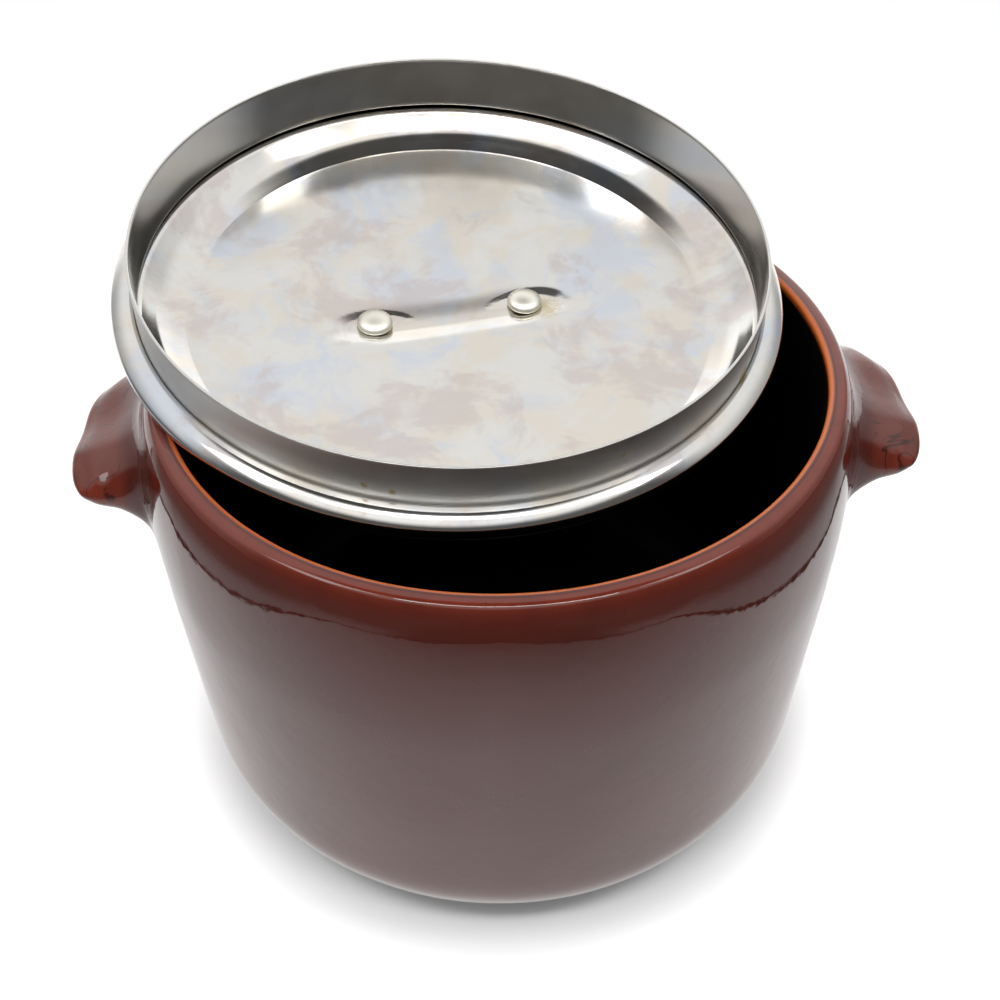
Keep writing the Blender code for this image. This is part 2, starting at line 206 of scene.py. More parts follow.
def spun(points, steps):
    """A bmesh of the section line spun once round Z, with its poles and its seam closed."""
    bm = bmesh.new()
    verts = [bm.verts.new((radius, 0.0, height)) for radius, height in points]
    edges = [bm.edges.new(pair) for pair in zip(verts, verts[1:])]
    bmesh.ops.spin(bm, geom=verts + edges, cent=(0, 0, 0), axis=(0, 0, 1), angle=math.tau, steps=steps,
                   use_merge=True)
    bmesh.ops.remove_doubles(bm, verts=bm.verts[:], dist=1e-6)
    bmesh.ops.recalc_face_normals(bm, faces=bm.faces[:])
    return bm


def as_object(bm, name):
    mesh = bpy.data.meshes.new(name)
    bm.to_mesh(mesh)
    bm.free()
    for face in mesh.polygons:
        face.use_smooth = True
    piece = bpy.data.objects.new(name, mesh)
    bpy.context.scene.collection.objects.link(piece)
    return piece


def applied(piece):
    """The piece's modifiers become its mesh."""
    graph = bpy.context.evaluated_depsgraph_get()
    graph.update()
    mesh = bpy.data.meshes.new_from_object(piece.evaluated_get(graph))
    old = piece.data
    piece.modifiers.clear()
    piece.data = mesh
    bpy.data.meshes.remove(old)
    mesh.name = piece.name


def subdivide(piece, levels):
    smooth = piece.modifiers.new("smooth", "SUBSURF")
    smooth.levels = levels
    smooth.render_levels = levels


def hand_over(piece, material, body, node):
    """Gives the piece its material and body, and hides the solid it stands for."""
    piece.data.materials.clear()
    piece.data.materials.append(material)
    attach(piece, body)
    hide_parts(node)


def thicken(piece, thickness):
    solid = piece.modifiers.new("thickness", "SOLIDIFY")
    solid.thickness = thickness
    solid.offset = 0.0


def round_edges(piece, width, segments):
    edge = piece.modifiers.new("edges", "BEVEL")
    edge.width = width
    edge.segments = segments
    edge.limit_method = "ANGLE"
    edge.angle_limit = math.radians(60)


def per_vertex(mesh, what):
    flat = np.empty(len(mesh.vertices) * 3)
    mesh.vertices.foreach_get(what, flat)
    return flat.reshape(-1, 3)


def coords(mesh):
    return per_vertex(mesh, "co")


def normals(mesh):
    return per_vertex(mesh, "normal")


def set_coords(mesh, place):
    mesh.vertices.foreach_set("co", place.ravel())
    mesh.update()


def edge_ends(mesh):
    """The vertex at one end of every edge, and the vertex at its other end."""
    pairs = np.empty(len(mesh.edges) * 2, dtype=np.int64)
    mesh.edges.foreach_get("vertices", pairs)
    return pairs.reshape(-1, 2).T


def store(mesh, name, values):
    layer = mesh.attributes.new(name, "FLOAT", "POINT")
    layer.data.foreach_set("value", np.asarray(values, dtype=np.float32))


def convexity(mesh, rounds):
    """Curvature at each vertex in 1/m, positive on outward edges, evened out over its neighbours."""
    place = coords(mesh)
    normal = normals(mesh)
    one, other = edge_ends(mesh)
    run = place[other] - place[one]
    square = np.maximum((run ** 2).sum(axis=1), 1e-12)
    total = np.zeros(len(place))
    count = np.zeros(len(place))
    np.add.at(total, one, -(run * normal[one]).sum(axis=1) / square)
    np.add.at(total, other, (run * normal[other]).sum(axis=1) / square)
    np.add.at(count, one, 1)
    np.add.at(count, other, 1)
    value = 2 * total / np.maximum(count, 1)
    for _ in range(rounds):
        spread = value.copy()
        np.add.at(spread, one, value[other])
        np.add.at(spread, other, value[one])
        value = spread / (count + 1)
    return value


class NodeSheet:
    """Short names for building a material's or a group's nodes."""

    def __init__(self, tree):
        self.tree = tree

    def node(self, kind, **values):
        made = self.tree.nodes.new(kind)
        for key, value in values.items():
            setattr(made, key, value)
        return made

    def join(self, source, target):
        self.tree.links.new(source, target)

    def feed(self, node, inputs):
        """Each input is given a value or joined to another node's output."""
        for key, value in inputs.items():
            if isinstance(value, bpy.types.NodeSocket):
                self.join(value, node.inputs[key])
            else:
                node.inputs[key].default_value = value
        return node

    def math(self, operation, first, second=0.0, third=0.0, clamp=False):
        made = self.node("ShaderNodeMath", operation=operation, use_clamp=clamp)
        self.feed(made, {0: first, 1: second, 2: third})
        return made.outputs[0]

    def mix(self, factor, first, second):
        made = self.node("ShaderNodeMix", data_type="RGBA")
        self.feed(made, {0: factor, 6: first, 7: second})
        return made.outputs[2]

    def span(self, value, low, high, start=0.0, end=1.0):
        """A smooth step of the value from low..high to start..end."""
        made = self.node("ShaderNodeMapRange", interpolation_type="SMOOTHSTEP")
        self.feed(made, {"Value": value, "From Min": low, "From Max": high, "To Min": start, "To Max": end})
        return made.outputs["Result"]

    def noise(self, vector, scale, detail=3.0, roughness=0.5, distortion=0.0):
        made = self.node("ShaderNodeTexNoise")
        self.feed(made, {"Vector": vector, "Scale": scale, "Detail": detail, "Roughness": roughness,
                         "Distortion": distortion})
        return made.outputs["Fac"]

    def mapped(self, vector, scale=(1, 1, 1), place=(0, 0, 0)):
        made = self.node("ShaderNodeMapping")
        self.feed(made, {"Vector": vector, "Scale": scale, "Location": place})
        return made.outputs["Vector"]

    def bump(self, height, strength, distance):
        made = self.node("ShaderNodeBump")
        self.feed(made, {"Height": height, "Strength": strength, "Distance": distance})
        return made.outputs["Normal"]

    def object_place(self):
        return self.node("ShaderNodeTexCoord").outputs["Object"]

    def attribute(self, name):
        return self.node("ShaderNodeAttribute", attribute_name=name).outputs["Fac"]


def new_material(name):
    material = bpy.data.materials.new(name)
    material.use_nodes = True
    sheet = NodeSheet(material.node_tree)
    return material, sheet, material.node_tree.nodes["Principled BSDF"]


def rgba(value):
    return (value[0], value[1], value[2], 1.0)


def glaze_material(settings):
    """Red-brown glaze: orange where it thins over edges, near black inside as painted shade, thin dark
    painted reflection lines on the lugs, bare clay underneath.
    """
    material, sheet, shader = new_material("red_brown_glaze")
    place = sheet.object_place()
    cloud = sheet.noise(place, 26.0, 4.0, 0.55)
    fine = sheet.noise(place, 420.0, 3.0, 0.6)
    body = sheet.mix(sheet.span(cloud, 0.40, 0.75, 0.0, 0.6), rgba(settings.glaze), rgba(settings.glaze_dark))
    streak = sheet.noise(sheet.mapped(place, (1.0, 1.0, 0.35)), 95.0, 5.0, 0.65)
    streaked = sheet.span(streak, 0.30, 0.60, 0.6, 1.0)
    half_thin = sheet.math("MULTIPLY", sheet.attribute("half_thin"), streaked, clamp=True)
    body = sheet.mix(half_thin, body, rgba(settings.glaze_half))
    broken = sheet.span(fine, 0.2, 0.5, 0.8, 1.0)
    thin = sheet.math("MULTIPLY", sheet.attribute("thin_glaze"), broken, clamp=True)
    body = sheet.mix(thin, body, rgba(settings.glaze_thin))
    # Painted reflection: thin dark wavy lines on the lugs stand for the glaze's distorted reflections.
    painted_reflection_lines = sheet.noise(sheet.mapped(place, place=(0.2, 0.1, 0.3)), 62.0, 2.0, 0.5, 1.2)
    painted_reflection_lines = sheet.span(sheet.math("ABSOLUTE", sheet.math("SUBTRACT", painted_reflection_lines, 0.5)), 0.004, 0.016, 0.75, 0.0)
    painted_reflection_lines = sheet.math("MULTIPLY", painted_reflection_lines, sheet.attribute("lug_skin"))
    # Painted shade: the inside takes the near-black colour, standing for the shade under the lid.
    inside = sheet.attribute("inside")
    body = sheet.mix(inside, body, rgba(settings.inner_shade))
    specks = sheet.span(sheet.noise(place, 900.0, 2.0, 0.5), 0.70, 0.76, 0.0, 0.5)
    # Real glaze specks and the painted reflection lines darken the glaze together here.
    dark = sheet.math("MAXIMUM", specks, painted_reflection_lines)
    body = sheet.mix(dark, body, rgba([c * 0.35 for c in settings.glaze_dark]))
    under = sheet.attribute("bare_clay")
    dark_clay = rgba([c * 0.7 for c in settings.clay])
    grain = sheet.mix(sheet.noise(place, 1500.0, 4.0, 0.7), dark_clay, rgba(settings.clay))
    body = sheet.mix(under, body, grain)
    smooth = sheet.span(sheet.noise(place, 120.0, 3.0, 0.5), 0.3, 0.7, 0.030, 0.065)
    rough = sheet.math("MULTIPLY_ADD", under, 0.75, smooth)
    rough = sheet.math("MULTIPLY_ADD", inside, 0.30, rough)
    peel = sheet.math("MULTIPLY_ADD", fine, 0.20, sheet.noise(place, 240.0, 2.0, 0.5))
    sheet.feed(shader, {"Base Color": body, "Roughness": rough, "IOR": 1.52,
                        "Normal": sheet.bump(peel, 0.07, 0.0006)})
    return material


def worn_steel_group(lid):
    """Colour, roughness and height of handled steel: cloudy heat tint, fine scuffs, a patchy haze in the
    roughness.
    """
    group = bpy.data.node_groups.new("worn_steel", "ShaderNodeTree")
    for name, kind, default in (("Vector", "NodeSocketVector", None), ("Steel", "NodeSocketColor", None),
                                ("Tint", "NodeSocketFloat", 0.5), ("Polish", "NodeSocketFloat", 0.2)):
        socket = group.interface.new_socket(name, in_out="INPUT", socket_type=kind)
        if default is not None:
            socket.default_value = default
    group.interface.new_socket("Color", in_out="OUTPUT", socket_type="NodeSocketColor")
    group.interface.new_socket("Roughness", in_out="OUTPUT", socket_type="NodeSocketFloat")
    group.interface.new_socket("Height", in_out="OUTPUT", socket_type="NodeSocketFloat")
    sheet = NodeSheet(group)
    given = sheet.node("NodeGroupInput").outputs
    result = sheet.node("NodeGroupOutput")
    warm_cloud = sheet.noise(given["Vector"], 46.0, 7.0, 0.62, 0.4)
    cool_cloud = sheet.noise(sheet.mapped(given["Vector"], place=(0.31, 0.12, 0.05)), 40.0, 7.0, 0.62, 0.5)
    rose_cloud = sheet.noise(sheet.mapped(given["Vector"], place=(0.07, 0.41, 0.23)), 44.0, 7.0, 0.62, 0.4)
    shade = sheet.mix(sheet.math("MULTIPLY", sheet.span(warm_cloud, 0.44, 0.58), given["Tint"]),
                      given["Steel"], rgba(lid.warm_tint))
    shade = sheet.mix(sheet.math("MULTIPLY", sheet.span(cool_cloud, 0.48, 0.62), given["Tint"]),
                      shade, rgba(lid.cool_tint))
    shade = sheet.mix(sheet.math("MULTIPLY", sheet.span(rose_cloud, 0.50, 0.62), given["Tint"]),
                      shade, rgba(lid.rose_tint))
    scuffs = sheet.noise(sheet.mapped(given["Vector"], (1.0, 6.0, 1.0)), 300.0, 4.0, 0.7)
    haze = sheet.noise(given["Vector"], 50.0, 3.0, 0.6)
    rough = sheet.math("ADD", given["Polish"], sheet.span(haze, 0.30, 0.70, -0.02, 0.05), clamp=True)
    sheet.join(shade, result.inputs["Color"])
    sheet.join(rough, result.inputs["Roughness"])
    sheet.join(scuffs, result.inputs["Height"])
    return group


def steel_material(name, lid, steel, tint, polish):
    """A material of handled steel, with its parts for a piece that adds marks of its own."""
    group = bpy.data.node_groups.get("worn_steel") or worn_steel_group(lid)
    material, sheet, shader = new_material(name)
    worn = sheet.node("ShaderNodeGroup", node_tree=group)
    sheet.feed(worn, {"Vector": sheet.object_place(), "Steel": rgba(steel), "Tint": tint, "Polish": polish})
    sheet.feed(shader, {"Base Color": worn.outputs["Color"], "Roughness": worn.outputs["Roughness"],
                        "Metallic": 1.0, "Normal": sheet.bump(worn.outputs["Height"], 0.03, 0.0001)})
    return material, sheet, shader, worn


def roughened(sheet, shader, worn, where, added):
    """Adds to the steel's roughness where the piece's attribute is set."""
    rough = sheet.math("MULTIPLY_ADD", sheet.attribute(where), added, worn.outputs["Roughness"])
    sheet.feed(shader, {"Roughness": rough})


def stained(sheet, shader, shade, residue, spots):
    """Brown-yellow residue in ragged patches: each spot is a place, a reach and a strength."""
    place = sheet.object_place()
    ragged = sheet.noise(place, 520.0, 4.0, 0.7)
    cover = 0.0
    for spot, reach, strength in spots:
        away = sheet.node("ShaderNodeVectorMath", operation="DISTANCE")
        sheet.feed(away, {0: place, 1: spot})
        near = sheet.math("SUBTRACT", 1.0, sheet.math("DIVIDE", away.outputs["Value"], reach), clamp=True)
        patch = sheet.span(sheet.math("MULTIPLY", near, ragged), 0.12, 0.42, 0.0, strength)
        cover = sheet.math("MAXIMUM", cover, patch)
    sheet.feed(shader, {"Base Color": sheet.mix(cover, shade, rgba(residue)),
                        "Metallic": sheet.math("SUBTRACT", 1.0, cover, clamp=True)})


def lid_frame():
    """The lid's own frame, read from its solids: Z up the skirt's axis, X through the two rivets."""
    place = coords(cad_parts["lid_skirt"].data)
    ring = np.unique(np.round(place, 6), axis=0)
    middle = (ring.max(axis=0) + ring.min(axis=0)) / 2
    for _ in range(3):
        spread = ring - middle
        axis = np.linalg.eigh(spread.T @ spread)[1][:, 0]
        axis = axis if axis[2] > 0 else -axis
        middle = ring.mean(axis=0)
    top = ((ring - middle) @ axis).max()
    up = Vector(axis)
    left = Vector(coords(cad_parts["rivet_left"].data).mean(axis=0))
    right = Vector(coords(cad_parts["rivet_right"].data).mean(axis=0))
    along = (right - left)
    along = (along - up * along.dot(up)).normalized()
    across = up.cross(along)
    turn = Matrix((along, across, up)).transposed().to_4x4()
    origin = Vector(middle) + up * (top - bpy.context.scene.bean_pot_lid.skirt_height)
    return Matrix.Translation(origin) @ turn


def lay_in_place(piece):
    piece.data.transform(lid_frame())
    piece.data.update()


def outer_radius(settings, height):
    """Radius of the crock's outer wall at a height over the base."""
    belly = CROCK_TOP - settings.belly_drop
    land_end = settings.mouth_radius + settings.edge_round + settings.rim_land
    if height > belly:
        rise = min((height - belly) / settings.belly_drop, 1.0)
        return land_end + (settings.belly_radius - land_end) * math.sqrt(1.0 - rise * rise)
    if height > settings.corner_radius:
        share = (height - settings.corner_radius) / (belly - settings.corner_radius)
        return settings.foot_radius + (settings.belly_radius - settings.foot_radius) * share
    fall = settings.corner_radius - max(height, 0.0)
    return settings.foot_radius - settings.corner_radius + math.sqrt(settings.corner_radius ** 2 - fall ** 2)


LUG_RINGS = (0.0095, 0.0150, 0.0205, 0.0262, 0.0320, 0.0378)  # depths under the rim of the lugs' rows
LUG_STAGES = (0.10, 0.22, 0.38, 0.56, 0.76, 0.91, 1.0)  # rings from a lug's root to its lip
CROCK_STEPS = 96  # round the crock
LUG_CELLS = 4  # cells from a lug's middle to its side


def crock_section(settings):
    """Section from the middle of the inner floor, over the rim, down to the middle of the base."""
    inner_radius = settings.foot_radius - settings.wall
    inner_corner = settings.corner_radius - settings.wall
    land_end = settings.mouth_radius + settings.edge_round + settings.rim_land
    belly = CROCK_TOP - settings.belly_drop
    floor_edge = inner_radius - inner_corner
    rim_foot = CROCK_TOP - settings.edge_round
    points = [(0.0, settings.floor)] + line((0.0, settings.floor), (floor_edge, settings.floor), 5)
    points += arc((floor_edge, settings.floor + inner_corner), (inner_corner, inner_corner), -90, 0, 6)[1:]
    points += line(points[-1], (settings.belly_radius - settings.wall, belly), 6)
    points += line(points[-1], (settings.mouth_radius, rim_foot), 5)
    points += arc((settings.mouth_radius + settings.edge_round, rim_foot),
                  (settings.edge_round, settings.edge_round), 180, 90, 4)[1:]
    points += line(points[-1], (land_end, CROCK_TOP), 3)
    for degrees in (83, 74, 64, 54):
        drop = settings.belly_drop * (1 - math.sin(math.radians(degrees)))
        points.append((outer_radius(settings, CROCK_TOP - drop), CROCK_TOP - drop))
    for drop in LUG_RINGS:
        points.append((outer_radius(settings, CROCK_TOP - drop), CROCK_TOP - drop))
    points += line(points[-1], (settings.foot_radius, settings.corner_radius), 9)
    points += arc((settings.foot_radius - settings.corner_radius, settings.corner_radius),
                  (settings.corner_radius, settings.corner_radius), 0, -90, 8)[1:]
    points += line(points[-1], (0.0, 0.0), 5)
    return points


def lug_place(crock, lug, root, along, across, up):
    """Where a point of the lug goes: along 0..1 out of the wall, across and up -1..1 over its face."""
    middle = (1 - across ** 2) ** 2
    corner = smoothstep(0.62, 1.05, abs(across))
    lip = LUG_END - lug.edge_scoop * middle - lug.corner_cut * corner
    lip -= lug.far_cut * smoothstep(0.15, 0.95, across)
    reach = root[0] + (lip - root[0]) * along
    embed = crock.belly_radius - lug.embed
    share = (reach - embed) / (LUG_REACH_X - embed)
    pinch = smoothstep(0.72, 1.0, along)
    bulge = lug.roundness * smoothstep(0.0, 0.5, along)
    wide = across * math.sqrt(1 - bulge * up * up / 2) * (1 - 0.02 * share - 0.08 * pinch)
    tall = up * math.sqrt(1 - bulge * across * across / 2) * (1 - 0.28 * pinch)
    top = lug.top_at_wall + (lug.top_at_lip - lug.top_at_wall) * share
    top += lug.top_scoop * middle * min(1.0, 2 * share)
    foot = lug.foot_at_wall + (lug.foot_at_lip - lug.foot_at_wall) * share ** 0.7
    block = Vector((reach, lug.half_width * wide, CROCK_TOP - foot + (foot - top) * (tall + 1) / 2))
    return Vector(root).lerp(block, smoothstep(0.0, 0.30, along))


def raise_lug(bm, crock, lug, side):
    """Pulls a patch of the wall out into a lug, ring by ring, so that it stays one skin with the wall."""
    high, low = CROCK_TOP - LUG_RINGS[0], CROCK_TOP - LUG_RINGS[-1]
    half_turn = math.tau / CROCK_STEPS * LUG_CELLS
    patch, grid = [], []
    for face in bm.faces:
        middle = face.calc_center_median()
        turn = math.atan2(middle.y, middle.x * side)
        outside = math.hypot(middle.x, middle.y) > crock.mouth_radius + 0.004
        if abs(turn) < half_turn and low < middle.z < high and outside:
            patch.append(face)
            corners = []
            for loop in face.loops:
                root = loop.vert.co.copy()
                root.x *= side
                across = math.atan2(root.y, root.x) / half_turn
                corners.append((root, across, 2 * (root.z - low) / (high - low) - 1))
            grid.append(corners)
    for along in LUG_STAGES:
        bmesh.ops.inset_region(bm, faces=patch, thickness=0.0002, depth=0.0, use_even_offset=True)
        for face, corners in zip(patch, grid):
            for loop, (root, across, up) in zip(face.loops, corners):
                place = lug_place(crock, lug, root, along, across, up)
                place.x *= side
                loop.vert.co = place


def ripple_crock(mesh, settings):
    """Small moves along the normals: the slow waves of hand-finished clay under a poured glaze."""
    place = coords(mesh)
    normal = normals(mesh)
    for i, co in enumerate(place):
        if co[2] < 0.001:
            continue
        fine_wave = noise.noise(Vector((co[0] * 90, co[1] * 90, co[2] * 60)))
        wave = noise.noise(Vector(co) * 38.0) + 0.45 * fine_wave
        place[i] += normal[i] * (settings.ripple * wave)
    set_coords(mesh, place)


def stretch_lugs(mesh, settings):
    """Rounding shortens the lugs a little; this brings them back to their full reach."""
    place = coords(mesh)
    root = settings.belly_radius
    out = np.abs(place[:, 0]) - root
    share = np.clip(out / out.max(), 0, 1)
    place[:, 0] += np.sign(place[:, 0]) * share * (LUG_END - root - out.max())
    set_coords(mesh, place)


def soften_lug_roots(mesh, settings, rounds):
    """Evens out the wall next to the lugs, as a thumb smooths the joint."""
    place = coords(mesh)
    radius = np.hypot(place[:, 0], place[:, 1])
    depth = CROCK_TOP - place[:, 2]
    near = np.clip((np.abs(place[:, 0]) - 0.074) / 0.004, 0, 1)
    near *= np.clip((depth - 0.0045) / 0.002, 0, 1) * np.clip((0.050 - depth) / 0.004, 0, 1)
    near *= np.clip((settings.belly_radius + 0.0052 - radius) / 0.0035, 0, 1)
    near *= (radius > settings.belly_radius - 0.0070)
    one, other = edge_ends(mesh)
    count = np.zeros(len(place))
    np.add.at(count, one, 1)
    np.add.at(count, other, 1)
    for _ in range(rounds):
        total = np.zeros_like(place)
        np.add.at(total, one, place[other])
        np.add.at(total, other, place[one])
        place += (0.6 * near)[:, None] * (total / count[:, None] - place)
    set_coords(mesh, place)


def paint_crock(mesh, settings):
    """Stores where the glaze is thin, where the inside is coloured near black as painted shade, and where the
    clay is bare.
    """
    place = coords(mesh)
    radius = np.hypot(place[:, 0], place[:, 1])
    depth = CROCK_TOP - place[:, 2]
    bend = convexity(mesh, 2)
    lug_skin = np.clip((radius - settings.belly_radius - 0.002) / 0.003, 0, 1)
    edge = np.clip(1 - np.abs(radius - settings.mouth_radius - 0.0003) / 0.0010, 0, 1)
    store(mesh, "thin_glaze", np.sqrt(edge) * (depth < settings.edge_round * 1.3))
    shoulder = np.exp(-np.clip(depth, 0, 1) / 0.0028) * (radius > settings.mouth_radius + 0.002)
    thinner = np.clip((bend - 40) / 200, 0, 1) * np.clip(0.15 + lug_skin, 0, 1)
    store(mesh, "half_thin", np.clip(thinner + 0.60 * shoulder + 0.45 * lug_skin, 0, 1))
    store(mesh, "lug_skin", lug_skin)
    inside = []
    for r, z in zip(radius, place[:, 2]):
        within = r < outer_radius(settings, z) - settings.wall * 0.42 and z > settings.floor / 2
        under_rim = z < CROCK_TOP - settings.edge_round and r < settings.mouth_radius + settings.edge_round
        # Painted shade: the near-black inside fades in just under the rim and is full deeper down.
        deep = smoothstep(CROCK_TOP - 0.0008, CROCK_TOP - 0.0026, z)
        inside.append(deep if within or under_rim else 0.0)
    store(mesh, "inside", inside)
    store(mesh, "bare_clay", [1.0 - smoothstep(0.0001, 0.0006, z) for z in place[:, 2]])


class BEANPOT_OT_crock(bpy.types.Operator):
    """Makes the glazed crock with its two lugs"""
    bl_idname = "bean_pot.crock"
    bl_label = "Crock"

    def execute(self, context):
        settings = context.scene.bean_pot_crock
        lug = context.scene.bean_pot_lug
        bm = spun(crock_section(settings), CROCK_STEPS)
        for side in (1, -1):
            raise_lug(bm, settings, lug, side)
        bmesh.ops.recalc_face_normals(bm, faces=bm.faces[:])
        crock = as_object(bm, "crock_glazed")
        subdivide(crock, 2)
        applied(crock)
        soften_lug_roots(crock.data, settings, 40)
        stretch_lugs(crock.data, settings)
        ripple_crock(crock.data, settings)
        paint_crock(crock.data, settings)
        hand_over(crock, glaze_material(settings), "crock", "crock_body")
        return {"FINISHED"}


def panel_height(lid, radius):
    edge = -lid.bead_height - lid.knee_depth - lid.cone_depth
    return edge - lid.crown * (1 - (radius / lid.panel_radius) ** 2)


def eased_corner(corner, before, after, reach, count):
    """A rounded corner between two straight runs, as a curve that starts and ends on them."""
    def toward(other):
        run = (other[0] - corner[0], other[1] - corner[1])
        share = reach / math.hypot(*run)
        return corner[0] + run[0] * share, corner[1] + run[1] * share

    start, end = toward(before), toward(after)
    points = []
    for i in range(count + 1):
        t = i / count
        points.append(tuple((1 - t) ** 2 * s + 2 * t * (1 - t) * c + t * t * e
                            for s, c, e in zip(start, corner, end)))
    return points


def cover_section(lid):
    """Middle line of the cover's sheet: bead, groove, drum side, knee, cone and domed panel."""
    half = lid.sheet / 2
    edge = lid.skirt_radius + half + PIECE_GAP
    outer = edge + lid.bead_width - half
    middle = edge + (outer - edge) * 0.55
    lip_end, shoulder_end = edge + 0.0012, outer - 0.0003
    shoulder_fall, shoulder_power, shoulder_points = 0.50, 1.9, 12
    points = [(edge, -half - 0.0013), (edge + 0.0001, -half - 0.0005), (edge + 0.0004, -half - 0.0001)]
    points += [(edge + 0.0008, -half), (lip_end, -half - 0.0001)]
    run = shoulder_end - lip_end
    for i in range(1, shoulder_points + 1):
        share = i / shoulder_points
        points.append((lip_end + run * share, -half - 0.0001 - shoulder_fall * run * share ** shoulder_power))
    points.append((outer - 0.0001, points[-1][1] - 0.0004))
    for degrees in range(0, -91, -6):
        sine, cosine = math.sin(math.radians(degrees)), math.cos(math.radians(degrees))
        curl = (lid.bead_height / 2 - half) * math.copysign(abs(sine) ** 0.9, sine)
        points.append((middle + (outer - middle) * max(cosine, 0.0) ** 0.9, curl - lid.bead_height / 2))
    groove = (lid.skirt_radius + half, -lid.bead_height + half + lid.bead_groove)
    before = ((groove[0] + middle) / 2, -lid.bead_height + half + 0.0004)
    points += [before, groove]
    foot = (lid.skirt_radius - lid.drum_inset, -lid.bead_height + lid.sheet)
    knee = (lid.knee_radius, -lid.bead_height - lid.knee_depth)
    rim = (lid.panel_radius, panel_height(lid, lid.panel_radius))
    points.append(foot)
    bend = eased_corner(knee, foot, rim, lid.knee_ease, 6)
    points += line(foot, bend[0], 2) + bend[1:]
    inner = (lid.panel_radius - 0.006, panel_height(lid, lid.panel_radius - 0.006))
    turn = eased_corner(rim, bend[-1], inner, lid.panel_ease, 2)
    points += line(bend[-1], turn[0], 3) + turn[1:]
    for i in range(1, PANEL_RINGS + 1):
        radius = turn[-1][0] * (1 - i / PANEL_RINGS)
        points.append((radius, panel_height(lid, radius)))
    return points


def press_dimples(mesh, lid):
    """Sinks the pressed seats round the rivets, with the shallow trough that joins them on one side."""
    reach = lid.rivet_spacing / 2
    trough_start, trough_full, trough_end, trough_fade = 0.0080, -0.0026, -0.0082, 0.0050
    place = coords(mesh)
    for i, (x, y) in enumerate(place[:, :2]):
        if math.hypot(x, y) > lid.panel_radius * 0.9:
            continue
        away = min(math.hypot((x - rivet) / lid.dimple_length, y / lid.dimple_width)
                   for rivet in (reach, -reach))
        soft = smoothstep(0.0005, -0.0035, y)
        seat = 1 - smoothstep(0.84 - 0.30 * soft, 1.04 + 0.55 * soft, away)
        trough = smoothstep(trough_start, trough_full, y)
        trough *= min(max((y - trough_end) / trough_fade, 0.0), 1.0)
        trough *= 1 - smoothstep(reach * 0.9, reach * 1.35, abs(x))
        place[i, 2] -= lid.dimple_depth * max(seat, 1.15 * trough)
    set_coords(mesh, place)


class BEANPOT_OT_cover(bpy.types.Operator):
    """Makes the lid's main pressing: panel, drum and rolled bead"""
    bl_idname = "bean_pot.cover"
    bl_label = "Lid cover"

    def execute(self, context):
        lid = context.scene.bean_pot_lid
        cover = as_object(spun(cover_section(lid), LID_STEPS), "lid_pressing")
        press_dimples(cover.data, lid)
        thicken(cover, lid.sheet)
        applied(cover)
        place = coords(cover.data)
        store(cover.data, "drawn_ring", np.hypot(place[:, 0], place[:, 1]) > lid.panel_radius - 0.0004)
        lay_in_place(cover)
        material, sheet, shader, worn = steel_material("panel_steel", lid, lid.steel, tint=0.62, polish=0.15)
        roughened(sheet, shader, worn, "drawn_ring", -0.06)
        by_rivet = lid_frame() @ Vector((0.0252, -0.0030, panel_height(lid, 0.026)))
        stained(sheet, shader, worn.outputs["Color"], lid.residue, [(tuple(by_rivet), 0.0070, 0.55)])
        hand_over(cover, material, "lid", "lid_cover")
        return {"FINISHED"}


SKIRT_SPOTS = (  # place in the lid's frame, reach
    ((-0.0363, -0.0700, 0.0030), 0.0015), ((-0.0308, -0.0726, 0.0022), 0.0017),
    ((0.0192, -0.0765, 0.0060), 0.0014), ((0.0612, -0.0497, 0.0040), 0.0036),
    ((0.0576, -0.0538, 0.0010), 0.0042))


class BEANPOT_OT_skirt(bpy.types.Operator):
    """Makes the lid's upright skirt"""
    bl_idname = "bean_pot.skirt"
    bl_label = "Lid skirt"

    def execute(self, context):
        lid = context.scene.bean_pot_lid
        radius = lid.skirt_radius
        straight_end, foot_round, foot_width = -0.0026, 0.0010, 0.0023
        points = [(radius, lid.skirt_height)] + line((radius, lid.skirt_height), (radius, straight_end), 14)
        points += arc((radius + foot_round, -lid.skirt_foot + foot_round), (foot_round, foot_round),
                      180, 270, 5)[1:]
        points += line(points[-1], (radius + foot_width, -lid.skirt_foot), 2)
        skirt = as_object(spun(points, LID_STEPS), "lid_skirt_band")
        for vertex in skirt.data.vertices:
            turn = math.atan2(vertex.co.y, vertex.co.x)
            lift = max(vertex.co.z / lid.skirt_height, 0.0)
            wave = noise.noise(Vector((math.cos(turn) * 2.2, math.sin(turn) * 2.2, 4.0)))
            vertex.co.xy *= 1 + 0.0012 * lift * wave
        thicken(skirt, lid.sheet)
        round_edges(skirt, 0.00016, 2)
        applied(skirt)
        radii = np.hypot(coords(skirt.data)[:, 0], coords(skirt.data)[:, 1])
        store(skirt.data, "scuffed", radii > radius)
        lay_in_place(skirt)
        material, sheet, shader, worn = steel_material("skirt_steel", lid, lid.steel, tint=0.12, polish=0.14)
        roughened(sheet, shader, worn, "scuffed", 0.31)
        turn = lid_frame()
        spots = [(tuple(turn @ Vector(place)), reach, 0.9) for place, reach in SKIRT_SPOTS]
        stained(sheet, shader, worn.outputs["Color"], lid.residue, spots)
        hand_over(skirt, material, "lid", "lid_skirt")
        return {"FINISHED"}


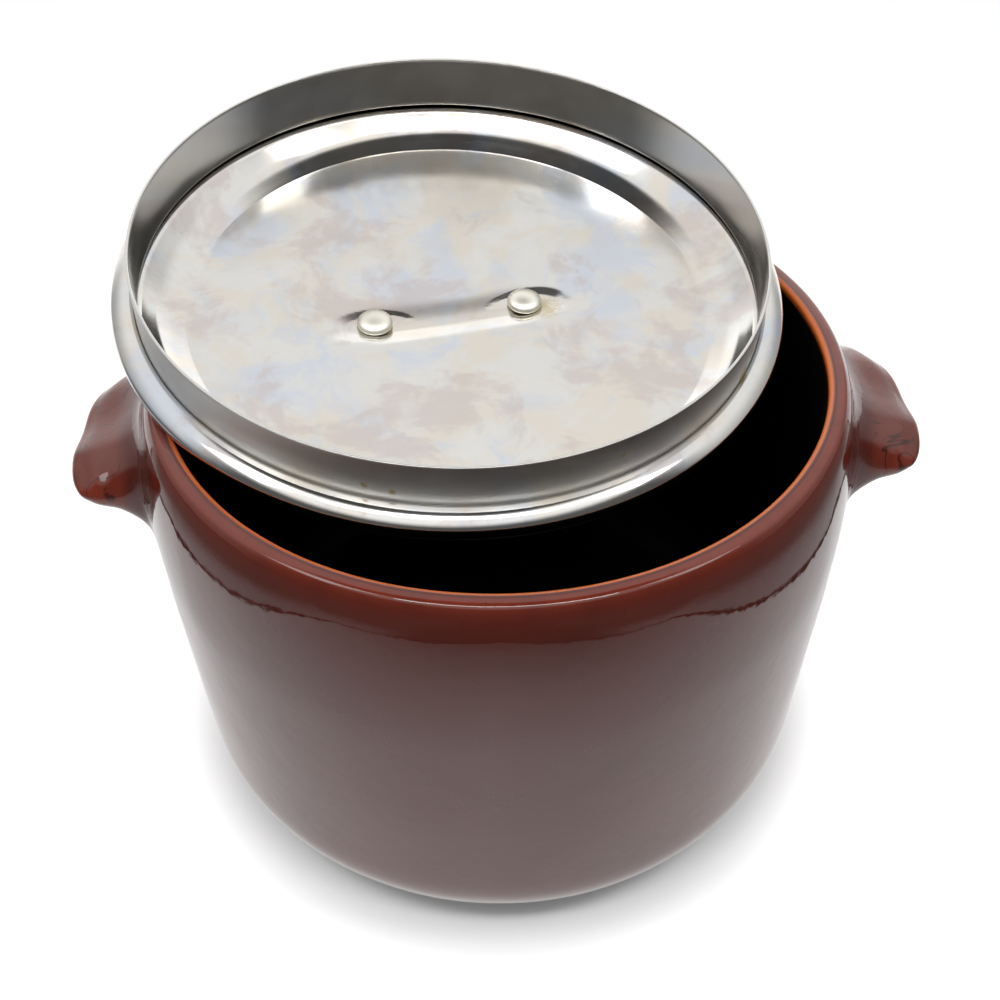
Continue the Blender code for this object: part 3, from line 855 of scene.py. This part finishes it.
class BEANPOT_OT_rivets(bpy.types.Operator):
    """Makes the two domed rivets that hold the handle"""
    bl_idname = "bean_pot.rivets"
    bl_label = "Rivets"

    def execute(self, context):
        lid = context.scene.bean_pot_lid
        strap = context.scene.bean_pot_strap
        middle = panel_height(lid, lid.rivet_spacing / 2)
        face = middle + lid.sheet / 2 + PIECE_GAP
        head, full = face - lid.dimple_depth, face + lid.rivet_height
        under = middle - lid.sheet / 2 - lid.boss_height - PIECE_GAP
        tail = under - strap.thickness - PIECE_GAP
        side, foot, radius, shank = 0.0006, 0.0005, lid.rivet_radius, lid.shank_radius
        points = [(0.0, full)] + arc((0.0, head + side), (radius, full - head - side), 90, 0, 12)[1:]
        points += arc((radius - foot, head + foot), (foot, foot), 0, -90, 3)[1:]
        points += [(shank + 0.0001, head), (shank, head - 0.0001)]
        points += [(shank, tail + 0.0001), (shank + 0.0002, tail), (lid.tail_radius - 0.0002, tail)]
        end = lid.tail_height / 2
        points += arc((lid.tail_radius - end, tail - end), (end, end), 90, -90, 6)[1:]
        points += [(shank - 0.0002, tail - lid.tail_height), (0.0, tail - lid.tail_height + 0.0001)]
        material = steel_material("rivet_metal", lid, lid.rivet_colour, tint=0.10, polish=0.42)[0]
        for name, place in (("rivet_left", -lid.rivet_spacing / 2), ("rivet_right", lid.rivet_spacing / 2)):
            rivet = as_object(spun(points, 48), name + "_domed")
            rivet.data.transform(Matrix.Translation((place, 0, 0)))
            lay_in_place(rivet)
            hand_over(rivet, material, "lid", name)
        return {"FINISHED"}


class BEANPOT_OT_strap(bpy.types.Operator):
    """Makes the looped strap handle on the lid's other side"""
    bl_idname = "bean_pot.strap"
    bl_label = "Handle strap"

    def execute(self, context):
        lid = context.scene.bean_pot_lid
        sizes = context.scene.bean_pot_strap
        half_span, bend, width = sizes.half_span, sizes.bend, sizes.width
        under = panel_height(lid, lid.rivet_spacing / 2) - lid.sheet / 2 - lid.boss_height - PIECE_GAP
        foot = under - sizes.thickness / 2
        half = [(lid.rivet_spacing / 2 - sizes.foot_tip, foot)]
        half += line(half[0], (half_span - bend, foot), 4)
        half += arc((half_span - bend, foot - bend), (bend, bend), 90, 0, 8)[1:]
        drop = sizes.height - bend - sizes.thickness
        squareness, loop_points = 0.7, 24
        for i in range(1, loop_points + 1):
            angle = math.pi / 2 * i / loop_points
            across = half_span * max(math.cos(angle), 0.0) ** squareness
            half.append((across, foot - bend - drop * math.sin(angle)))
        run = half + [(-x, z) for x, z in reversed(half[:-1])]
        bm = bmesh.new()
        verts = [bm.verts.new((x, -width / 2, z)) for x, z in run]
        edges = [bm.edges.new(pair) for pair in zip(verts, verts[1:])]
        made = bmesh.ops.extrude_edge_only(bm, edges=edges)
        moved = [item for item in made["geom"] if isinstance(item, bmesh.types.BMVert)]
        bmesh.ops.translate(bm, verts=moved, vec=(0, width, 0))
        bmesh.ops.recalc_face_normals(bm, faces=bm.faces[:])
        strap = as_object(bm, "handle_strap_rounded")
        thicken(strap, sizes.thickness)
        round_edges(strap, sizes.edge_round, 3)
        applied(strap)
        lay_in_place(strap)
        material = steel_material("strap_steel", lid, lid.steel, tint=0.15, polish=0.22)[0]
        hand_over(strap, material, "lid", "handle_strap")
        return {"FINISHED"}


def floor_material(stage):
    """Pale floor. Gloss and bounced light see it as a table, with the darker room past its edges; on the
    table is painted light that fades toward the front, a painted shadow band along its edge and, for gloss
    only, a painted pool of light in its middle. To the camera it glows, weakly next to the crock and less far
    behind it, as painted contact shade and painted falloff.
    """
    material, sheet, shader = new_material("pale_floor")
    split = sheet.node("ShaderNodeSeparateXYZ")
    sheet.feed(split, {"Vector": sheet.object_place()})
    path = sheet.node("ShaderNodeLightPath").outputs
    aside = sheet.math("ABSOLUTE", sheet.math("ADD", split.outputs["X"], 0.012))
    ahead = sheet.math("MULTIPLY", split.outputs["Y"], -1.0)
    past_front = sheet.math("SUBTRACT", sheet.math("MULTIPLY_ADD", aside, 0.75, ahead), stage.table_front)
    flare = sheet.math("MULTIPLY", sheet.math("MAXIMUM", sheet.math("SUBTRACT", -0.10, ahead), 0.0), 2.0)
    past_side = sheet.math("SUBTRACT", sheet.math("SUBTRACT", aside, stage.table_side), flare)
    past = sheet.math("MAXIMUM", past_front, past_side)
    beside = sheet.math("MULTIPLY", sheet.span(aside, 0.12, 0.20), sheet.span(past, 0.01, 0.14, 0.42, 0.06))
    # Painted shade: the room is near black in a narrow band just past the table's edge, standing for that
    # edge's shadow.
    room = sheet.math("MULTIPLY", sheet.math("ADD", beside, 0.12), sheet.span(past, 0.006, 0.011, 0.08, 1.0))
    # Painted light: the table grows darker toward the front, a painted falloff.
    painted_falloff = sheet.span(ahead, 0.06, 0.37, 1.0, 0.34)
    tone = sheet.mix(sheet.span(past, 0.0, 0.002), painted_falloff, room)
    tone = sheet.mix(path["Is Camera Ray"], tone, rgba(stage.floor_colour))
    # Painted light: for gloss only, the table's middle glows, a painted pool of light.
    lift = sheet.math("MULTIPLY", path["Is Glossy Ray"], sheet.span(past, -0.34, -0.02, 0.52, 0.0))
    # Painted shade: to the camera the floor glows weakly next to the crock's base and less far behind it, so
    # a painted contact shade and falloff show.
    away = sheet.node("ShaderNodeVectorMath", operation="LENGTH")
    sheet.feed(away, {0: sheet.object_place()})
    glow_painted_shade = sheet.span(away.outputs["Value"], 0.083, 0.100, 0.02, 0.36)
    glow_painted_shade = sheet.math("MULTIPLY", glow_painted_shade, sheet.span(split.outputs["Y"], 0.02, 0.40, 1.0, 0.32))
    lift = sheet.math("ADD", lift, sheet.math("MULTIPLY", path["Is Camera Ray"], glow_painted_shade))
    sheet.feed(shader, {"Base Color": tone, "Roughness": 0.9, "Specular IOR Level": 0.0,
                        "Emission Color": (1.0, 1.0, 1.0, 1.0), "Emission Strength": lift})
    return material


def room_light(stage):
    """The room: pale behind and at the sides, bright high in front, dark overhead; white to the camera."""
    world = bpy.data.worlds.new("studio_room")
    bpy.context.scene.world = world
    world.use_nodes = True
    sheet = NodeSheet(world.node_tree)
    back = world.node_tree.nodes["Background"]
    out = world.node_tree.nodes["World Output"]
    split = sheet.node("ShaderNodeSeparateXYZ")
    sheet.feed(split, {"Vector": sheet.node("ShaderNodeTexCoord").outputs["Generated"]})
    wall = sheet.span(split.outputs["Z"], 0.10, 0.72, stage.room * 0.45, stage.room)
    paper = sheet.math("MULTIPLY", sheet.span(split.outputs["Y"], 0.64, 0.86),
                       sheet.span(split.outputs["Z"], 0.55, 0.70, 1.0, 0.0))
    wall = sheet.math("MULTIPLY_ADD", paper, sheet.math("SUBTRACT", stage.room * 1.45, wall), wall)
    aside = sheet.math("ABSOLUTE", split.outputs["X"])
    behind = sheet.span(sheet.math("MULTIPLY_ADD", aside, 0.35, split.outputs["Y"]), -0.12, 0.32)
    window = sheet.span(split.outputs["Z"], 0.60, 0.76, stage.front, stage.high_front)
    ceiling = sheet.span(sheet.math("MULTIPLY_ADD", split.outputs["Y"], 0.15, split.outputs["Z"]), 0.90, 0.96)
    level = sheet.math("MULTIPLY_ADD", behind, sheet.math("SUBTRACT", wall, window), window)
    level = sheet.math("MULTIPLY_ADD", ceiling, sheet.math("SUBTRACT", stage.ceiling, level), level)
    sheet.feed(back, {"Color": (1.0, 1.0, 1.0, 1.0), "Strength": level})
    white = sheet.node("ShaderNodeBackground")
    sheet.feed(white, {"Color": (1.0, 1.0, 1.0, 1.0), "Strength": 1.0})
    mixed = sheet.node("ShaderNodeMixShader")
    sheet.feed(mixed, {0: sheet.node("ShaderNodeLightPath").outputs["Is Camera Ray"], 1: back.outputs[0],
                       2: white.outputs[0]})
    sheet.join(mixed.outputs[0], out.inputs["Surface"])


def area_lamp(name, place, target, size, power):
    data = bpy.data.lights.new(name, "AREA")
    data.shape = "RECTANGLE"
    data.size, data.size_y = size
    data.energy = power
    lamp = bpy.data.objects.new(name, data)
    lamp.location = place
    aim = Vector(target) - Vector(place)
    lamp.rotation_euler = aim.to_track_quat("-Z", "Y").to_euler()
    bpy.context.scene.collection.objects.link(lamp)


class BEANPOT_OT_stage(bpy.types.Operator):
    """Sets the floor, the room, the lamps and the camera"""
    bl_idname = "bean_pot.stage"
    bl_label = "Stage"

    def execute(self, context):
        stage = context.scene.bean_pot_stage
        bm = bmesh.new()
        bmesh.ops.create_grid(bm, x_segments=1, y_segments=1, size=4.0)
        floor = as_object(bm, "floor")
        floor.data.materials.append(floor_material(stage))
        room_light(stage)
        crock_middle = (0.0, 0.0, 0.10)
        right_power = stage.side_lamp * stage.right_share
        area_lamp("top_lamp", (0.0, -0.40, 1.05), crock_middle, (0.80, 0.13), stage.top_lamp)
        area_lamp("left_lamp", (-0.60, -0.20, 0.98), crock_middle, (0.34, 0.40), stage.side_lamp)
        area_lamp("right_lamp", (0.62, -0.20, 0.98), crock_middle, (0.26, 0.40), right_power)
        data = bpy.data.cameras.new("camera")
        data.lens = stage.lens
        data.sensor_width = 36.0
        camera = bpy.data.objects.new("camera", data)
        camera.location = stage.camera_place
        camera.rotation_euler = stage.camera_turn
        context.scene.collection.objects.link(camera)
        context.scene.camera = camera
        context.scene.view_settings.view_transform = "Standard"
        return {"FINISHED"}


class BEANPOT_PT_panel(bpy.types.Panel):
    """Lists the bean pot's operators"""
    bl_idname = "BEANPOT_PT_panel"
    bl_label = "Bean Pot"
    bl_space_type = "VIEW_3D"
    bl_region_type = "UI"
    bl_category = "Bean Pot"

    def draw(self, context):
        for operator in OPERATORS:
            self.layout.operator(operator.bl_idname)


OPERATORS = (BEANPOT_OT_crock, BEANPOT_OT_cover, BEANPOT_OT_skirt, BEANPOT_OT_rivets, BEANPOT_OT_strap,
             BEANPOT_OT_stage)
SETTINGS = (("bean_pot_crock", CrockSettings), ("bean_pot_lug", LugSettings), ("bean_pot_lid", LidSettings),
            ("bean_pot_strap", StrapSettings), ("bean_pot_stage", StageSettings))


def register():
    for name, group in SETTINGS:
        bpy.utils.register_class(group)
        setattr(bpy.types.Scene, name, PointerProperty(type=group))
    for operator in OPERATORS:
        bpy.utils.register_class(operator)
    bpy.utils.register_class(BEANPOT_PT_panel)


def unregister():
    bpy.utils.unregister_class(BEANPOT_PT_panel)
    for operator in reversed(OPERATORS):
        bpy.utils.unregister_class(operator)
    for name, group in reversed(SETTINGS):
        delattr(bpy.types.Scene, name)
        bpy.utils.unregister_class(group)


def main():
    register()
    bpy.ops.bean_pot.stage()
    bpy.ops.bean_pot.crock()
    bpy.ops.bean_pot.cover()
    bpy.ops.bean_pot.skirt()
    bpy.ops.bean_pot.rivets()
    bpy.ops.bean_pot.strap()


if __name__ == "__main__":
    main()
